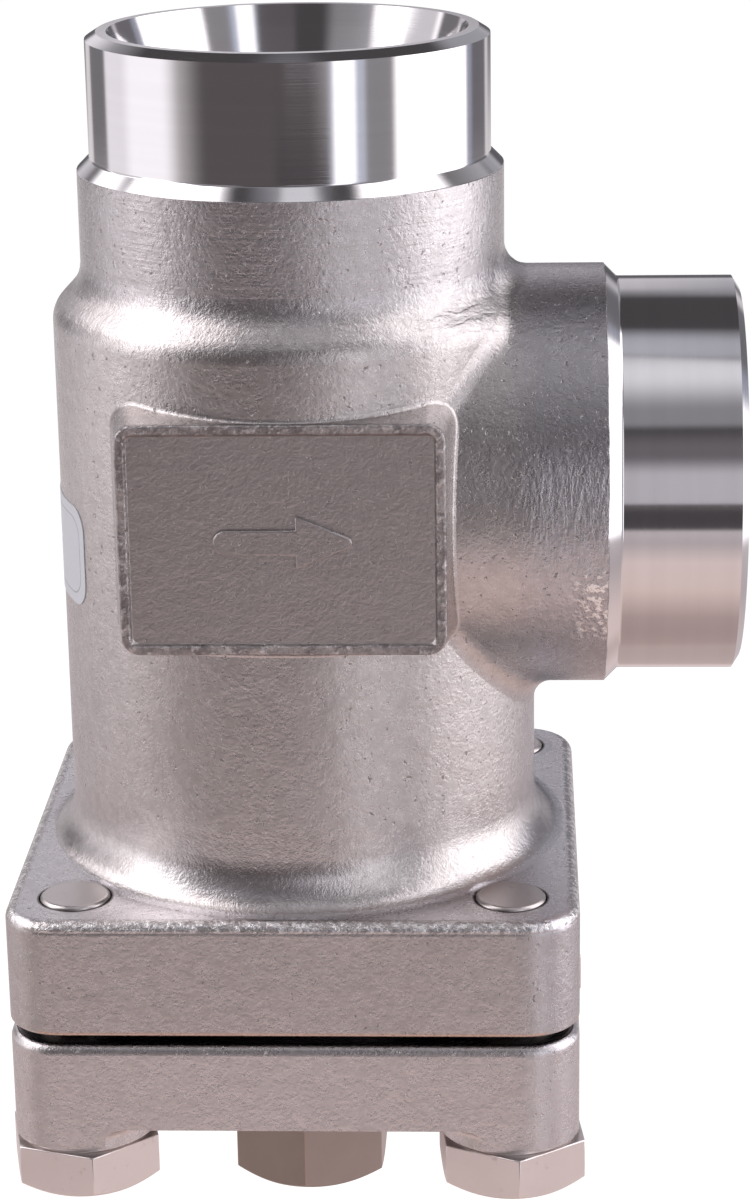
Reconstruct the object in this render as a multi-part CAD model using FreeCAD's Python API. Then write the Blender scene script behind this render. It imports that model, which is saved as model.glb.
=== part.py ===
import FreeCAD, Part
import math
import os

from FreeCAD import Vector

# Angle-pattern line strainer for DN 40 pipe, in millimetres.
# The origin is the centre of the axial port's weld face. +Z points out of that port, +X out
# of the side port, and the cast name panel faces -Y. Heights are negative, counted down from
# the axial weld face to the drain plug.
os.makedirs("parts", exist_ok=True)

# Weld ends, the same on both ports
PIPE_OD = 48.3
PIPE_WALL = 2.6
FACE_LAND = 1.35
BEVEL_DEPTH = 0.85
SPIGOT_LENGTH = 14.8
SPIGOT_ROOT_FILLET = 0.35
PORT_STEP = 2.05
PORT_TAPER_LENGTH = 6.0

# Casting outside
NECK_STEP = 1.55
BRANCH_STEP = 1.6
BARREL_WALL = 4.5
SHOULDER_TOP = 29.2
SHOULDER_BOTTOM = 33.0
SHOULDER_TOP_FILLET = 4.5
SHOULDER_BOTTOM_FILLET = 3.5
BRANCH_HEIGHT = 55.0
BRANCH_REACH = 54.2
BRANCH_FILLET = 3.2
FLANGE_HEIGHT = 100.8
FLARE_HEIGHT = 5.8

# Square flange and cover
FLANGE_THICKNESS = 14.6
FLANGE_CORNER = 6.8
FLANGE_EDGE = 1.5
BOLT_WEB = 3.2
BOLT_INSET = 8.3
COVER_GAP = 1.3
COVER_PLATE = 11.1
COVER_EDGE = 1.2
BOSS_HEIGHT = 2.6
BOSS_RADIUS = 9.0
BOSS_ROOT_FILLET = 1.3

# Cast name panel on the barrel
PANEL_WIDTH = 38.0
PANEL_HEIGHT = 27.6
PANEL_PROUD = 0.55
PANEL_CORNER = 2.2
PANEL_DRAFT = 9.0
PANEL_RIM = 0.95
PANEL_RECESS = 0.4
PANEL_RECESS_SLOPE = 45.0
PANEL_EDGE = 0.35
PANEL_SINK = 4.0
PANEL_BLEND = 0.5

# Inside of the casting
SEAT_HEIGHT = 30.0
SEAT_DEPTH = 4.4
BASKET_SPACE = 4.8
GASKET_SEAT = 3.7
GASKET_THICKNESS = 1.5
TONGUE_ENTRY = 1.5
JOINT_EDGE = 0.4

# Cover inside
TONGUE_WALL = 3.2
SUMP_DEPTH = 1.2
SPRING_POCKET_DEPTH = 1.6

# Bolts, M10 with a 17 mm hexagon
BOLT_DIAMETER = 10.0
BOLT_HEX = 17.0
BOLT_HEAD = 6.4
BOLT_WASHER_FACE = 0.5
BOLT_STAND_OUT = 0.45
BOLT_HOLE_CLEARANCE = 0.5
TAPPED_HOLE_CHAMFER = 0.3
BOLT_END_CHAMFER = 0.75
HEX_FACE_SHARE = 0.95
HEX_CHAMFER = 30.0
BOLT_TURNS = {"front_left": 12.0, "front_right": 6.0, "back_left": -9.0, "back_right": 20.0}

# Drain plug, G1/2 with a collar and a 19 mm hexagon
PLUG_DIAMETER = 20.955
PLUG_THREAD = 14.0
PLUG_COLLAR = 26.0
PLUG_COLLAR_HEIGHT = 4.0
PLUG_HEX = 19.0
PLUG_HEX_HEIGHT = 10.0
PLUG_TURN = -1.5
PLUG_BOSS = 30.0
PLUG_BOSS_HEIGHT = 5.5
PLUG_WASHER_THICKNESS = 1.5
PLUG_CHAMFER = 1.2

# Strainer basket
RING_THICKNESS = 2.2
RING_SKIRT = 6.0
RING_SKIRT_WALL = 1.3
RING_SEAT = 2.3
TUBE_STEP = 0.5
TUBE_WALL = 0.8
CAP_FLOOR = 1.2
CAP_EDGE = 0.8
CAP_RIM = 6.5
CAP_RIM_WALL = 1.2
CAP_BOSS_HEIGHT = 2.5
HOLE_DIAMETER = 6.0
HOLE_COLUMNS = 12
HOLE_ROWS = 6
HOLE_MARGIN = 5.5
MESH_THICKNESS = 0.4
SEAM_WIDTH = 5.0
SEAM_THICKNESS = 0.35

# Basket spring
SPRING_WIRE = 1.8
SPRING_INSET = 4.0
SPRING_LENGTH = 15.0
SPRING_ACTIVE_TURNS = 2.5
SPRING_DEAD_TURNS = 1.0
SPRING_COIL_GAP = 0.05
SPRING_ARCS_PER_TURN = 8

# Fits
THREAD_FIT = 0.07
RUNNING_FIT = 0.08
SEAT_GAP = 0.1
LOOSE_GAP = 0.3
SKIN_GAP = 0.05
CUT_OVER = 1.0

# Worked out from the sizes above
pipe_r = PIPE_OD / 2
port_face_r = pipe_r - PIPE_WALL
port_r = port_face_r - PORT_STEP
neck_r = pipe_r + NECK_STEP
branch_r = pipe_r + BRANCH_STEP
tube_outer = port_r + TUBE_STEP
tube_inner = tube_outer - TUBE_WALL
seat_r = tube_outer + RING_SEAT
chamber_r = tube_outer + BASKET_SPACE
barrel_r = chamber_r + BARREL_WALL
gasket_r = chamber_r + GASKET_SEAT
bolt_r = BOLT_DIAMETER / 2
bolt_hole_r = bolt_r + BOLT_HOLE_CLEARANCE
bolt_half = (gasket_r + BOLT_WEB + bolt_hole_r) / math.sqrt(2)
flange_half = bolt_half + BOLT_INSET
flange_side = 2 * flange_half
branch_z = -BRANCH_HEIGHT
panel_front = -barrel_r - PANEL_PROUD
flange_top = -FLANGE_HEIGHT
flange_bottom = flange_top - FLANGE_THICKNESS
cover_top = flange_bottom - COVER_GAP
cover_bottom = cover_top - COVER_PLATE
boss_bottom = cover_bottom - BOSS_HEIGHT
tongue_top = flange_bottom + TONGUE_ENTRY
recess_floor = tongue_top + GASKET_THICKNESS + SEAT_GAP
sump_floor = cover_top - SUMP_DEPTH
pocket_floor = sump_floor - SPRING_POCKET_DEPTH
spring_r = tube_outer - SPRING_INSET
spring_outer = spring_r + SPRING_WIRE / 2
spring_inner = spring_r - SPRING_WIRE / 2
plug_boss_bottom = cover_bottom - PLUG_BOSS_HEIGHT
washer_top = plug_boss_bottom - SEAT_GAP
collar_top = washer_top - PLUG_WASHER_THICKNESS - SEAT_GAP
hex_top = collar_top - PLUG_COLLAR_HEIGHT
plug_bottom = hex_top - PLUG_HEX_HEIGHT
plug_r = PLUG_DIAMETER / 2
basket_top = -SEAT_HEIGHT - SEAT_GAP
spring_low = pocket_floor + SEAT_GAP
spring_high = spring_low + SPRING_LENGTH
basket_bottom = spring_high + LOOSE_GAP
ring_bottom = basket_top - RING_THICKNESS - RING_SKIRT
cap_top = basket_bottom + CAP_FLOOR + CAP_RIM
mesh_inner = tube_outer + SKIN_GAP
mesh_outer = mesh_inner + MESH_THICKNESS

BOLT_PLACES = {
    "front_left": (-bolt_half, -bolt_half),
    "front_right": (bolt_half, -bolt_half),
    "back_left": (-bolt_half, bolt_half),
    "back_right": (bolt_half, bolt_half),
}


def cylinder(radius, z_low, z_high, x=0.0, y=0.0):
    return Part.makeCylinder(radius, z_high - z_low, Vector(x, y, z_low))


def cylinder_x(radius, x_low, x_high):
    """A cylinder along the side port's axis."""
    return Part.makeCylinder(radius, x_high - x_low, Vector(x_low, 0, branch_z), Vector(1, 0, 0))


def revolved(profile):
    """Turns a closed outline of (radius, height) points about the Z axis."""
    points = [Vector(r, 0, z) for r, z in profile]
    face = Part.Face(Part.makePolygon(points + points[:1]))
    return face.revolve(Vector(0, 0, 0), Vector(0, 0, 1), 360)


def rounded_square(side, corner, z_low, z_high):
    half = side / 2
    block = Part.makeBox(side, side, z_high - z_low, Vector(-half, -half, z_low))
    upright = [e for e in block.Edges if abs(e.BoundBox.ZLength - (z_high - z_low)) < 1e-6]
    return block.makeFillet(corner, upright)


def level_edges(shape, z):
    """The edges of a shape that lie flat at one height."""
    return [e for e in shape.Edges
            if abs(e.BoundBox.ZMin - z) < 1e-4 and abs(e.BoundBox.ZMax - z) < 1e-4]


def circle_edges(shape, radius, z):
    return [e for e in level_edges(shape, z)
            if e.Curve.TypeId == "Part::GeomCircle" and abs(e.Curve.Radius - radius) < 1e-4]


def weld_end_outline():
    """Radius and distance from the weld face, along the outside of a spigot."""
    root = SPIGOT_LENGTH + NECK_STEP
    return [(pipe_r - FACE_LAND, 0), (pipe_r, BEVEL_DEPTH), (pipe_r, SPIGOT_LENGTH), (neck_r, root)]


def weld_end_bore(length):
    """The tapered bore of a port, as a solid that points down from a weld face at z = 0."""
    widen = PORT_STEP / PORT_TAPER_LENGTH * CUT_OVER
    return revolved([(0, CUT_OVER), (port_face_r + widen, CUT_OVER), (port_r, -PORT_TAPER_LENGTH),
                     (port_r, -length), (0, -length)])


def axial_column():
    """Spigot, neck, shoulder and barrel as one turned form."""
    column = revolved([(0, 0)] + [(r, -d) for r, d in weld_end_outline()] + [
        (neck_r, -SHOULDER_TOP), (barrel_r, -SHOULDER_BOTTOM), (barrel_r, flange_bottom),
        (0, flange_bottom)])
    column = column.makeFillet(SPIGOT_ROOT_FILLET, circle_edges(column, pipe_r, -SPIGOT_LENGTH))
    column = column.makeFillet(SHOULDER_TOP_FILLET, circle_edges(column, neck_r, -SHOULDER_TOP))
    return column.makeFillet(SHOULDER_BOTTOM_FILLET,
                             circle_edges(column, barrel_r, -SHOULDER_BOTTOM))


def branch_form():
    """The cast stub of the side port, from the column's axis to the shoulder of its spigot."""
    shoulder_x = BRANCH_REACH - SPIGOT_LENGTH - BRANCH_STEP
    return cylinder_x(branch_r, 0, shoulder_x)


def side_spigot():
    """The turned weld end of the side port, with its cone shoulder."""
    cone = SPIGOT_LENGTH + BRANCH_STEP
    inside = cone + CUT_OVER
    outline = [(0, 0)] + weld_end_outline()[:3] + [
        (branch_r, cone), (branch_r, inside), (0, inside)]
    spigot = revolved([(r, -d) for r, d in outline])
    spigot = spigot.makeFillet(SPIGOT_ROOT_FILLET, circle_edges(spigot, pipe_r, -SPIGOT_LENGTH))
    spigot.rotate(Vector(0, 0, 0), Vector(0, 1, 0), 90)
    spigot.translate(Vector(BRANCH_REACH, 0, branch_z))
    return spigot


def flange_form():
    """The square flange, with the flare that carries the barrel into it."""
    flange = rounded_square(flange_side, FLANGE_CORNER, flange_bottom, flange_top)
    flange = flange.makeFillet(FLANGE_EDGE, level_edges(flange, flange_top))
    flange = flange.makeFillet(JOINT_EDGE, level_edges(flange, flange_bottom))
    foot = flange_half - FLANGE_EDGE
    centre = Vector(foot, 0, flange_top + FLARE_HEIGHT)
    axes = sorted([(FLARE_HEIGHT, Vector(0, 0, -1)), (foot - barrel_r, Vector(-1, 0, 0))],
                  key=lambda a: -a[0])
    ellipse = Part.Ellipse(centre + axes[0][1] * axes[0][0], centre + axes[1][1] * axes[1][0],
                           centre)
    ends = [Vector(barrel_r, 0, centre.z), Vector(foot, 0, flange_top)]
    a, b = sorted(ellipse.parameter(p) for p in ends)
    if b - a > math.pi:
        a, b = b, a + 2 * math.pi
    curve = Part.ArcOfEllipse(ellipse, a, b).toShape()
    first, last = curve.Vertexes[0].Point, curve.Vertexes[-1].Point
    if first.z < last.z:
        first, last = last, first
    low = flange_top - FLANGE_EDGE
    core = barrel_r - CUT_OVER
    corners = [last, Vector(last.x, 0, low), Vector(core, 0, low), Vector(core, 0, first.z), first]
    lines = [Part.makeLine(p, q) for p, q in zip(corners, corners[1:])]
    wire = Part.Wire(Part.__sortEdges__([curve] + lines))
    flare = Part.Face(wire).revolve(Vector(0, 0, 0), Vector(0, 0, 1), 360)
    return flange.fuse(flare)


def panel_outline(width, height, corner, y):
    """A rounded rectangle round the panel's centre, in the plane at y."""
    thick = 1.0
    block = Part.makeBox(width, thick, height, Vector(-width / 2, y, branch_z - height / 2))
    along = [e for e in block.Edges if abs(e.BoundBox.YLength - thick) < 1e-6]
    block = block.makeFillet(corner, along)
    face = min(block.Faces, key=lambda f: f.CenterOfMass.y)
    return face.OuterWire


def name_panel():
    """The raised panel on the barrel's front, with drafted walls and a rounded rim."""
    front = panel_front
    depth = barrel_r - math.sqrt(barrel_r ** 2 - (PANEL_WIDTH / 2) ** 2) + PANEL_SINK
    spread = 2 * depth * math.tan(math.radians(PANEL_DRAFT))
    face = panel_outline(PANEL_WIDTH, PANEL_HEIGHT, PANEL_CORNER, front)
    root = panel_outline(PANEL_WIDTH + spread, PANEL_HEIGHT + spread, PANEL_CORNER + spread / 2,
                         front + depth)
    panel = Part.makeLoft([face, root], True, True)
    rim_edges = [e for e in panel.Edges if abs(e.BoundBox.YMax - front) < 1e-4]
    return panel.makeFillet(PANEL_EDGE, rim_edges)


def panel_field():
    """What is sunk from the panel's front inside its rim, with sloped sides."""
    outlines = []
    for depth in (-PANEL_RECESS, PANEL_RECESS):
        inset = PANEL_RIM + depth * math.tan(math.radians(PANEL_RECESS_SLOPE))
        outlines.append(panel_outline(PANEL_WIDTH - 2 * inset, PANEL_HEIGHT - 2 * inset,
                                      PANEL_CORNER - inset, panel_front + depth))
    return Part.makeLoft(outlines, True, True)


def axial_cavity():
    """Everything that is bored from the two ends of the column's axis."""
    shoulder = -SEAT_HEIGHT - SEAT_DEPTH
    cone_foot = shoulder - (chamber_r - seat_r)
    bores = weld_end_bore(SEAT_HEIGHT + CUT_OVER)
    below = flange_bottom - CUT_OVER
    chamber = revolved([(0, -SEAT_HEIGHT), (seat_r, -SEAT_HEIGHT), (seat_r, shoulder),
                        (chamber_r, cone_foot), (chamber_r, recess_floor),
                        (gasket_r, recess_floor), (gasket_r, below), (0, below)])
    return bores.fuse(chamber)


def side_bore():
    bore = weld_end_bore(BRANCH_REACH - chamber_r / 2)
    bore.rotate(Vector(0, 0, 0), Vector(0, 1, 0), 90)
    bore.translate(Vector(BRANCH_REACH, 0, branch_z))
    return bore


def tapped_hole(x, y):
    """What a bolt's thread takes out of the flange, countersunk at both faces."""
    core = bolt_r + THREAD_FIT
    mouth = core + TAPPED_HOLE_CHAMFER
    high = flange_top - TAPPED_HOLE_CHAMFER
    low = flange_bottom + TAPPED_HOLE_CHAMFER
    hole = revolved([(0, flange_top + CUT_OVER), (mouth, flange_top + CUT_OVER), (mouth, flange_top),
                     (core, high), (core, low), (mouth, flange_bottom),
                     (mouth, flange_bottom - CUT_OVER), (0, flange_bottom - CUT_OVER)])
    hole.translate(Vector(x, y, 0))
    return hole


def meeting_edges(body, first, second):
    """The edges of a fused body that lie on both of the shapes it was made from."""
    found = []
    for edge in body.Edges:
        span = edge.LastParameter - edge.FirstParameter
        points = [edge.valueAt(edge.FirstParameter + t * span) for t in (0.1, 0.5, 0.9)]
        if all(Part.Vertex(p).distToShape(shape.Shells[0])[0] < 1e-4
               for shape in (first, second) for p in points):
            found.append(edge)
    return found


def housing():
    column = axial_column()
    branch = branch_form()
    outside = column.fuse(branch)
    outside = outside.makeFillet(BRANCH_FILLET, meeting_edges(outside, column, branch))
    panel = name_panel()
    body = outside.fuse(panel)
    body = body.makeFillet(PANEL_BLEND, meeting_edges(body, outside, panel))
    body = body.cut(panel_field()).fuse([side_spigot(), flange_form()])
    body = body.cut([axial_cavity(), side_bore()])
    return body.cut([tapped_hole(x, y) for x, y in BOLT_PLACES.values()]).removeSplitter()


def cover():
    """Square cover with four bolt bosses, a tongue for the gasket and a sump for the spring."""
    plate = rounded_square(flange_side, FLANGE_CORNER, cover_bottom, cover_top)
    blank = rounded_square(flange_side, FLANGE_CORNER, boss_bottom, cover_bottom)
    bosses = [blank.common(cylinder(BOSS_RADIUS, boss_bottom, cover_bottom, x, y))
              for x, y in BOLT_PLACES.values()]
    body = plate.fuse(bosses).removeSplitter()
    body = body.makeFillet(BOSS_ROOT_FILLET, circle_edges(body, BOSS_RADIUS, cover_bottom))
    body = body.makeFillet(COVER_EDGE, level_edges(body, cover_top))
    tongue_r = gasket_r - LOOSE_GAP
    body = body.fuse([cylinder(tongue_r, cover_top - COVER_EDGE, tongue_top),
                      cylinder(PLUG_BOSS / 2, plug_boss_bottom, cover_bottom + CUT_OVER)])
    above = tongue_top + CUT_OVER
    body = body.cut(revolved([
        (0, above), (tongue_r - TONGUE_WALL, above),
        (tongue_r - TONGUE_WALL, sump_floor), (spring_outer + LOOSE_GAP, sump_floor),
        (spring_outer + LOOSE_GAP, pocket_floor), (0, pocket_floor)]))
    body = body.cut(cylinder(plug_r + THREAD_FIT, plug_boss_bottom - CUT_OVER,
                             pocket_floor + CUT_OVER))
    holes = [cylinder(bolt_hole_r, boss_bottom - CUT_OVER, cover_top + CUT_OVER, x, y)
             for x, y in BOLT_PLACES.values()]
    return body.cut(holes).removeSplitter()


def cover_gasket():
    outer = gasket_r - LOOSE_GAP
    ring = cylinder(outer, tongue_top, tongue_top + GASKET_THICKNESS)
    return ring.cut(cylinder(outer - TONGUE_WALL, tongue_top - CUT_OVER,
                             recess_floor + CUT_OVER))


def hexagon(across_flats, z_low, z_high, turn):
    """A hexagonal prism on the Z axis, turned by an angle in degrees from corner to the front."""
    across_corners = across_flats / math.cos(math.radians(30))
    corners = []
    for k in range(7):
        a = math.radians(turn - 90 + 60 * k)
        corners.append(Vector(across_corners / 2 * math.cos(a), across_corners / 2 * math.sin(a),
                              z_low))
    return Part.Face(Part.makePolygon(corners)).extrude(Vector(0, 0, z_high - z_low))


def chamfered_hexagon(across_flats, z_low, z_high, turn):
    """A hexagonal head whose lower corners are turned off in a cone."""
    prism = hexagon(across_flats, z_low, z_high, turn)
    face_r = across_flats * HEX_FACE_SHARE / 2
    spread = (z_high - z_low) / math.tan(math.radians(HEX_CHAMFER))
    cone = Part.makeCone(face_r, face_r + spread, z_high - z_low, Vector(0, 0, z_low))
    return prism.common(cone)


def bolt(place):
    """One cover bolt: hexagon head with its washer face under the boss, shank up the flange."""
    x, y = BOLT_PLACES[place]
    seat = boss_bottom - SEAT_GAP
    top = flange_top + BOLT_STAND_OUT
    face_r = BOLT_HEX * HEX_FACE_SHARE / 2
    face = cylinder(face_r, seat - BOLT_WASHER_FACE, seat)
    head = chamfered_hexagon(BOLT_HEX, seat - BOLT_HEAD, seat - BOLT_WASHER_FACE,
                             BOLT_TURNS[place])
    foot = seat - CUT_OVER
    shank = revolved([(0, foot), (bolt_r, foot), (bolt_r, top - BOLT_END_CHAMFER),
                      (bolt_r - BOLT_END_CHAMFER, top), (0, top)])
    whole = head.fuse([face, shank]).removeSplitter()
    whole.translate(Vector(x, y, 0))
    return whole


def drain_plug():
    collar_r = PLUG_COLLAR / 2
    head = chamfered_hexagon(PLUG_HEX, plug_bottom, hex_top, PLUG_TURN)
    top = washer_top + PLUG_THREAD
    face_r = PLUG_HEX * HEX_FACE_SHARE / 2
    foot = hex_top - CUT_OVER
    body = revolved([(0, foot), (face_r, foot),
                     (face_r, hex_top), (collar_r, hex_top), (collar_r, collar_top),
                     (plug_r, collar_top), (plug_r, top - PLUG_CHAMFER),
                     (plug_r - PLUG_CHAMFER, top), (0, top)])
    return head.fuse(body).removeSplitter()


def plug_washer():
    low = washer_top - PLUG_WASHER_THICKNESS
    ring = cylinder(PLUG_COLLAR / 2, low, washer_top)
    return ring.cut(cylinder(plug_r + RUNNING_FIT, low - CUT_OVER, washer_top + CUT_OVER))


def basket_top_ring():
    """Turned ring that seats on the casting's shoulder and holds the tube in its skirt."""
    skirt_top = basket_top - RING_THICKNESS
    rim_r = seat_r - SEAT_GAP
    skirt_inner = tube_outer + SKIN_GAP
    lip = tube_inner - SKIN_GAP
    return revolved([(lip, basket_top), (rim_r, basket_top), (rim_r, skirt_top),
                     (skirt_inner + RING_SKIRT_WALL, skirt_top),
                     (skirt_inner + RING_SKIRT_WALL, ring_bottom), (skirt_inner, ring_bottom),
                     (skirt_inner, skirt_top), (lip, skirt_top)])


def basket_tube():
    """Support tube with staggered rows of round holes between its ring and its end cap."""
    low = basket_bottom + CAP_FLOOR
    high = basket_top - RING_THICKNESS
    tube = cylinder(tube_outer, low, high)
    tube = tube.cut(cylinder(tube_inner, low - CUT_OVER, high + CUT_OVER))
    first = cap_top + HOLE_MARGIN
    last = ring_bottom - HOLE_MARGIN
    step = (last - first) / (HOLE_ROWS - 1)
    holes = []
    for row in range(HOLE_ROWS):
        stagger = 0.5 * (row % 2)
        for column in range(HOLE_COLUMNS):
            a = 2 * math.pi * (column + stagger) / HOLE_COLUMNS
            out = Vector(math.cos(a), math.sin(a), 0)
            start = out * (tube_inner - CUT_OVER) + Vector(0, 0, first + row * step)
            holes.append(Part.makeCylinder(HOLE_DIAMETER / 2, TUBE_WALL + 2 * CUT_OVER, start,
                                           out))
    return tube.cut(holes)


def basket_mesh():
    low = cap_top + SKIN_GAP
    high = ring_bottom - SKIN_GAP
    sleeve = cylinder(mesh_outer, low, high)
    return sleeve.cut(cylinder(mesh_inner, low - CUT_OVER, high + CUT_OVER))


def mesh_seam():
    """The strip that closes the lap of the mesh, on the side away from the side port."""
    low = cap_top + SKIN_GAP
    high = ring_bottom - SKIN_GAP
    inner = mesh_outer + SKIN_GAP
    ring = cylinder(inner + SEAM_THICKNESS, low, high)
    ring = ring.cut(cylinder(inner, low - CUT_OVER, high + CUT_OVER))
    left = inner + SEAM_THICKNESS + CUT_OVER
    strip = Part.makeBox(left, SEAM_WIDTH, high - low, Vector(-left, -SEAM_WIDTH / 2, low))
    return ring.common(strip)


def basket_end_cap():
    """Pressed cap that closes the tube, with a round boss that centres the spring."""
    rim_inner = tube_outer + SKIN_GAP
    rim_outer = rim_inner + CAP_RIM_WALL
    boss_r = spring_inner - LOOSE_GAP
    floor = basket_bottom + CAP_FLOOR - SKIN_GAP
    boss_low = basket_bottom - CAP_BOSS_HEIGHT
    return revolved([(0, boss_low), (boss_r - CAP_EDGE, boss_low), (boss_r, boss_low + CAP_EDGE),
                     (boss_r, basket_bottom), (rim_outer - CAP_EDGE, basket_bottom),
                     (rim_outer, basket_bottom + CAP_EDGE), (rim_outer, cap_top),
                     (rim_inner, cap_top),
                     (rim_inner, floor), (boss_r - CAP_FLOOR, floor),
                     (boss_r - CAP_FLOOR, floor - CAP_BOSS_HEIGHT),
                     (0, floor - CAP_BOSS_HEIGHT)])


def coil_point(turn):
    """Centre of the spring's wire after some turns: close coils at the ends, open between."""
    wire_r = SPRING_WIRE / 2
    pitch = SPRING_WIRE + SPRING_COIL_GAP
    open_rise = SPRING_LENGTH - SPRING_WIRE - 2 * SPRING_DEAD_TURNS * pitch
    active = min(max(turn - SPRING_DEAD_TURNS, 0.0), SPRING_ACTIVE_TURNS)
    z = spring_low + wire_r + pitch * (turn - active) + open_rise * active / SPRING_ACTIVE_TURNS
    a = 2 * math.pi * turn
    return Vector(spring_r * math.cos(a), spring_r * math.sin(a), z)


def tangent_arc(start, direction, end):
    """The arc that leaves a point in a direction and ends at another point."""
    half = (end - start).Length / 2
    middle = (start + end) / 2
    bend = direction.getAngle(end - start)
    outward = (start + direction * (half / math.cos(bend)) - middle).normalize()
    return Part.Arc(start, middle + outward * (half * math.tan(bend / 2)), end).toShape()


def two_arcs(start, leaving, end, arriving):
    """Two arcs between two points that keep both directions and run into each other."""
    chord = end - start
    both = leaving + arriving
    a = both.dot(both) - 4
    b = -2 * chord.dot(both)
    reach = (-b - math.sqrt(b * b - 4 * a * chord.dot(chord))) / (2 * a)
    joint = (start + leaving * reach + end - arriving * reach) / 2
    return [tangent_arc(start, leaving, joint), tangent_arc(end, arriving * -1, joint)]


def basket_spring():
    """Compression spring with closed ends, round wire swept along pairs of arcs."""
    turns = SPRING_ACTIVE_TURNS + 2 * SPRING_DEAD_TURNS
    count = round(turns * SPRING_ARCS_PER_TURN / 2)
    step = turns / count
    places = [coil_point(step * i) for i in range(count + 1)]
    ways = [(coil_point(step * (i + 0.5)) - coil_point(step * (i - 0.5))).normalize()
            for i in range(count + 1)]
    arcs = []
    for start, leaving, end, arriving in zip(places, ways, places[1:], ways[1:]):
        arcs += two_arcs(start, leaving, end, arriving)
    end_circle = Part.Circle(places[0], ways[0], SPRING_WIRE / 2).toShape()
    return Part.Wire(Part.__sortEdges__(arcs)).makePipe(Part.Face(Part.Wire(end_circle)))


def write(name, shape):
    solids = shape.Solids
    if len(solids) == 1:
        shape = solids[0]
    print(name, len(solids), shape.isValid(), round(shape.Volume, 1))
    shape.exportStep("parts/" + name + ".step")


write("housing", housing())
write("cover", cover())
write("cover_gasket", cover_gasket())
for place in BOLT_PLACES:
    write("bolt_" + place, bolt(place))
write("drain_plug", drain_plug())
write("plug_washer", plug_washer())
write("basket_top_ring", basket_top_ring())
write("basket_tube", basket_tube())
write("basket_mesh", basket_mesh())
write("mesh_seam", mesh_seam())
write("basket_end_cap", basket_end_cap())
write("basket_spring", basket_spring())
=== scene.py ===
import math
from types import SimpleNamespace

import bmesh
import bpy
from mathutils import Matrix, Vector


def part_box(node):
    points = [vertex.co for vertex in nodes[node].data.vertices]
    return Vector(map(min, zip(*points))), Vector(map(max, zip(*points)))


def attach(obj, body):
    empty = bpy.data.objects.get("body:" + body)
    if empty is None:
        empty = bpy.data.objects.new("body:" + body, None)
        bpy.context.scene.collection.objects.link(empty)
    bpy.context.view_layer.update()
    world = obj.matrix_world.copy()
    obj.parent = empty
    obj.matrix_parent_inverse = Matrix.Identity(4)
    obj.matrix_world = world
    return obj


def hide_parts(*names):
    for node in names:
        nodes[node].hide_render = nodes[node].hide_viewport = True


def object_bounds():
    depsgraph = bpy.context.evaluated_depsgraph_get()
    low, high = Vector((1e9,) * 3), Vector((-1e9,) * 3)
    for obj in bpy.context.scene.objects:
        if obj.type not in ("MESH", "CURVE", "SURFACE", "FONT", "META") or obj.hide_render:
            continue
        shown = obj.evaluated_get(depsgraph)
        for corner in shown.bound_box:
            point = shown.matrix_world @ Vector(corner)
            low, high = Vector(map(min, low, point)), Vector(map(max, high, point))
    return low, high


# Angle-pattern line strainer, DN 40, in metres. The origin is the centre of the axial port's
# weld face, +Z points out of that port and +X out of the side port.
MM = 0.001

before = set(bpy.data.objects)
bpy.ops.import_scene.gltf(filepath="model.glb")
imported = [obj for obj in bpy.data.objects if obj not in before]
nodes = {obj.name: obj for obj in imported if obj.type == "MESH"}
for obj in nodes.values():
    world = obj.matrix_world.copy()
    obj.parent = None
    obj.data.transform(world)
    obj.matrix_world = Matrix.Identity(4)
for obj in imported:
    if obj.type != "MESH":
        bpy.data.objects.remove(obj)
cad_low, cad_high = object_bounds()

# The fitting hangs in its pipe. The floor lies below the cover and the plug when both are
# taken out downwards.
COVER_TRAVEL = 180.0 * MM
PLUG_TRAVEL = 18.14 * MM
FLOOR_ROOM = 4.0 * MM
floor_height = cad_low.z - COVER_TRAVEL - PLUG_TRAVEL - FLOOR_ROOM

# The casting
BARREL_RADIUS = 29.3 * MM
BRANCH_HEIGHT = -55.0 * MM
NECK_START = -16.35 * MM
NECK_FOOT = -29.0 * MM
SIDE_SPIGOT_START = 37.8 * MM
FLANGE_TOP = -100.8 * MM
FLANGE_HALF = 34.6 * MM
JOINT_MIDDLE = -116.05 * MM
POCKET_FLOOR = -119.5 * MM
BOLT_PLACE = 26.304 * MM

# Its machined faces
CHAMBER_RADIUS = 25.0 * MM
RECESS_RADIUS = 28.8 * MM
RECESS_TOP = -110.25 * MM
SIDE_BORE_RADIUS = 22.3 * MM
SIDE_BORE_START = 15.5 * MM
JOINT_HEIGHTS = (JOINT_MIDDLE - 0.725 * MM, JOINT_MIDDLE + 0.725 * MM)
RAGGED_EDGE = 0.42 * MM

# The name panel on its front
PANEL_HALF_WIDTH = 19.0 * MM
PANEL_HALF_HEIGHT = 13.8 * MM
PANEL_RIM = 0.95 * MM
PANEL_FIELD = -29.45 * MM

# Threads: M10 on the cover bolts and G1/2 on the drain plug
BOLT_THREAD = {"crest": 5.0 * MM, "depth": 0.92 * MM, "pitch": 1.5 * MM}
PLUG_THREAD = {"crest": 10.4775 * MM, "depth": 1.16 * MM, "pitch": 1.814 * MM}

# Hexagons, rings and edges
HEX_FACE_SHARE = 0.475
RING_POINTS = 72
EDGE_BREAK = 0.12 * MM
BEVEL_ANGLE = math.radians(28)
SHARP_ANGLE = math.radians(30)

# The camera, where the photograph was taken from
CAMERA_PLACE = Vector((0.026599, -0.382062, 0.050479))
CAMERA_RIGHT = Vector((0.9991, 0.0401, -0.0152))
CAMERA_UP = Vector((0.0023, 0.3044, 0.9525))
CAMERA_LENS = 95.955
CAMERA_SENSOR = 36.0


# Node trees

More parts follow.
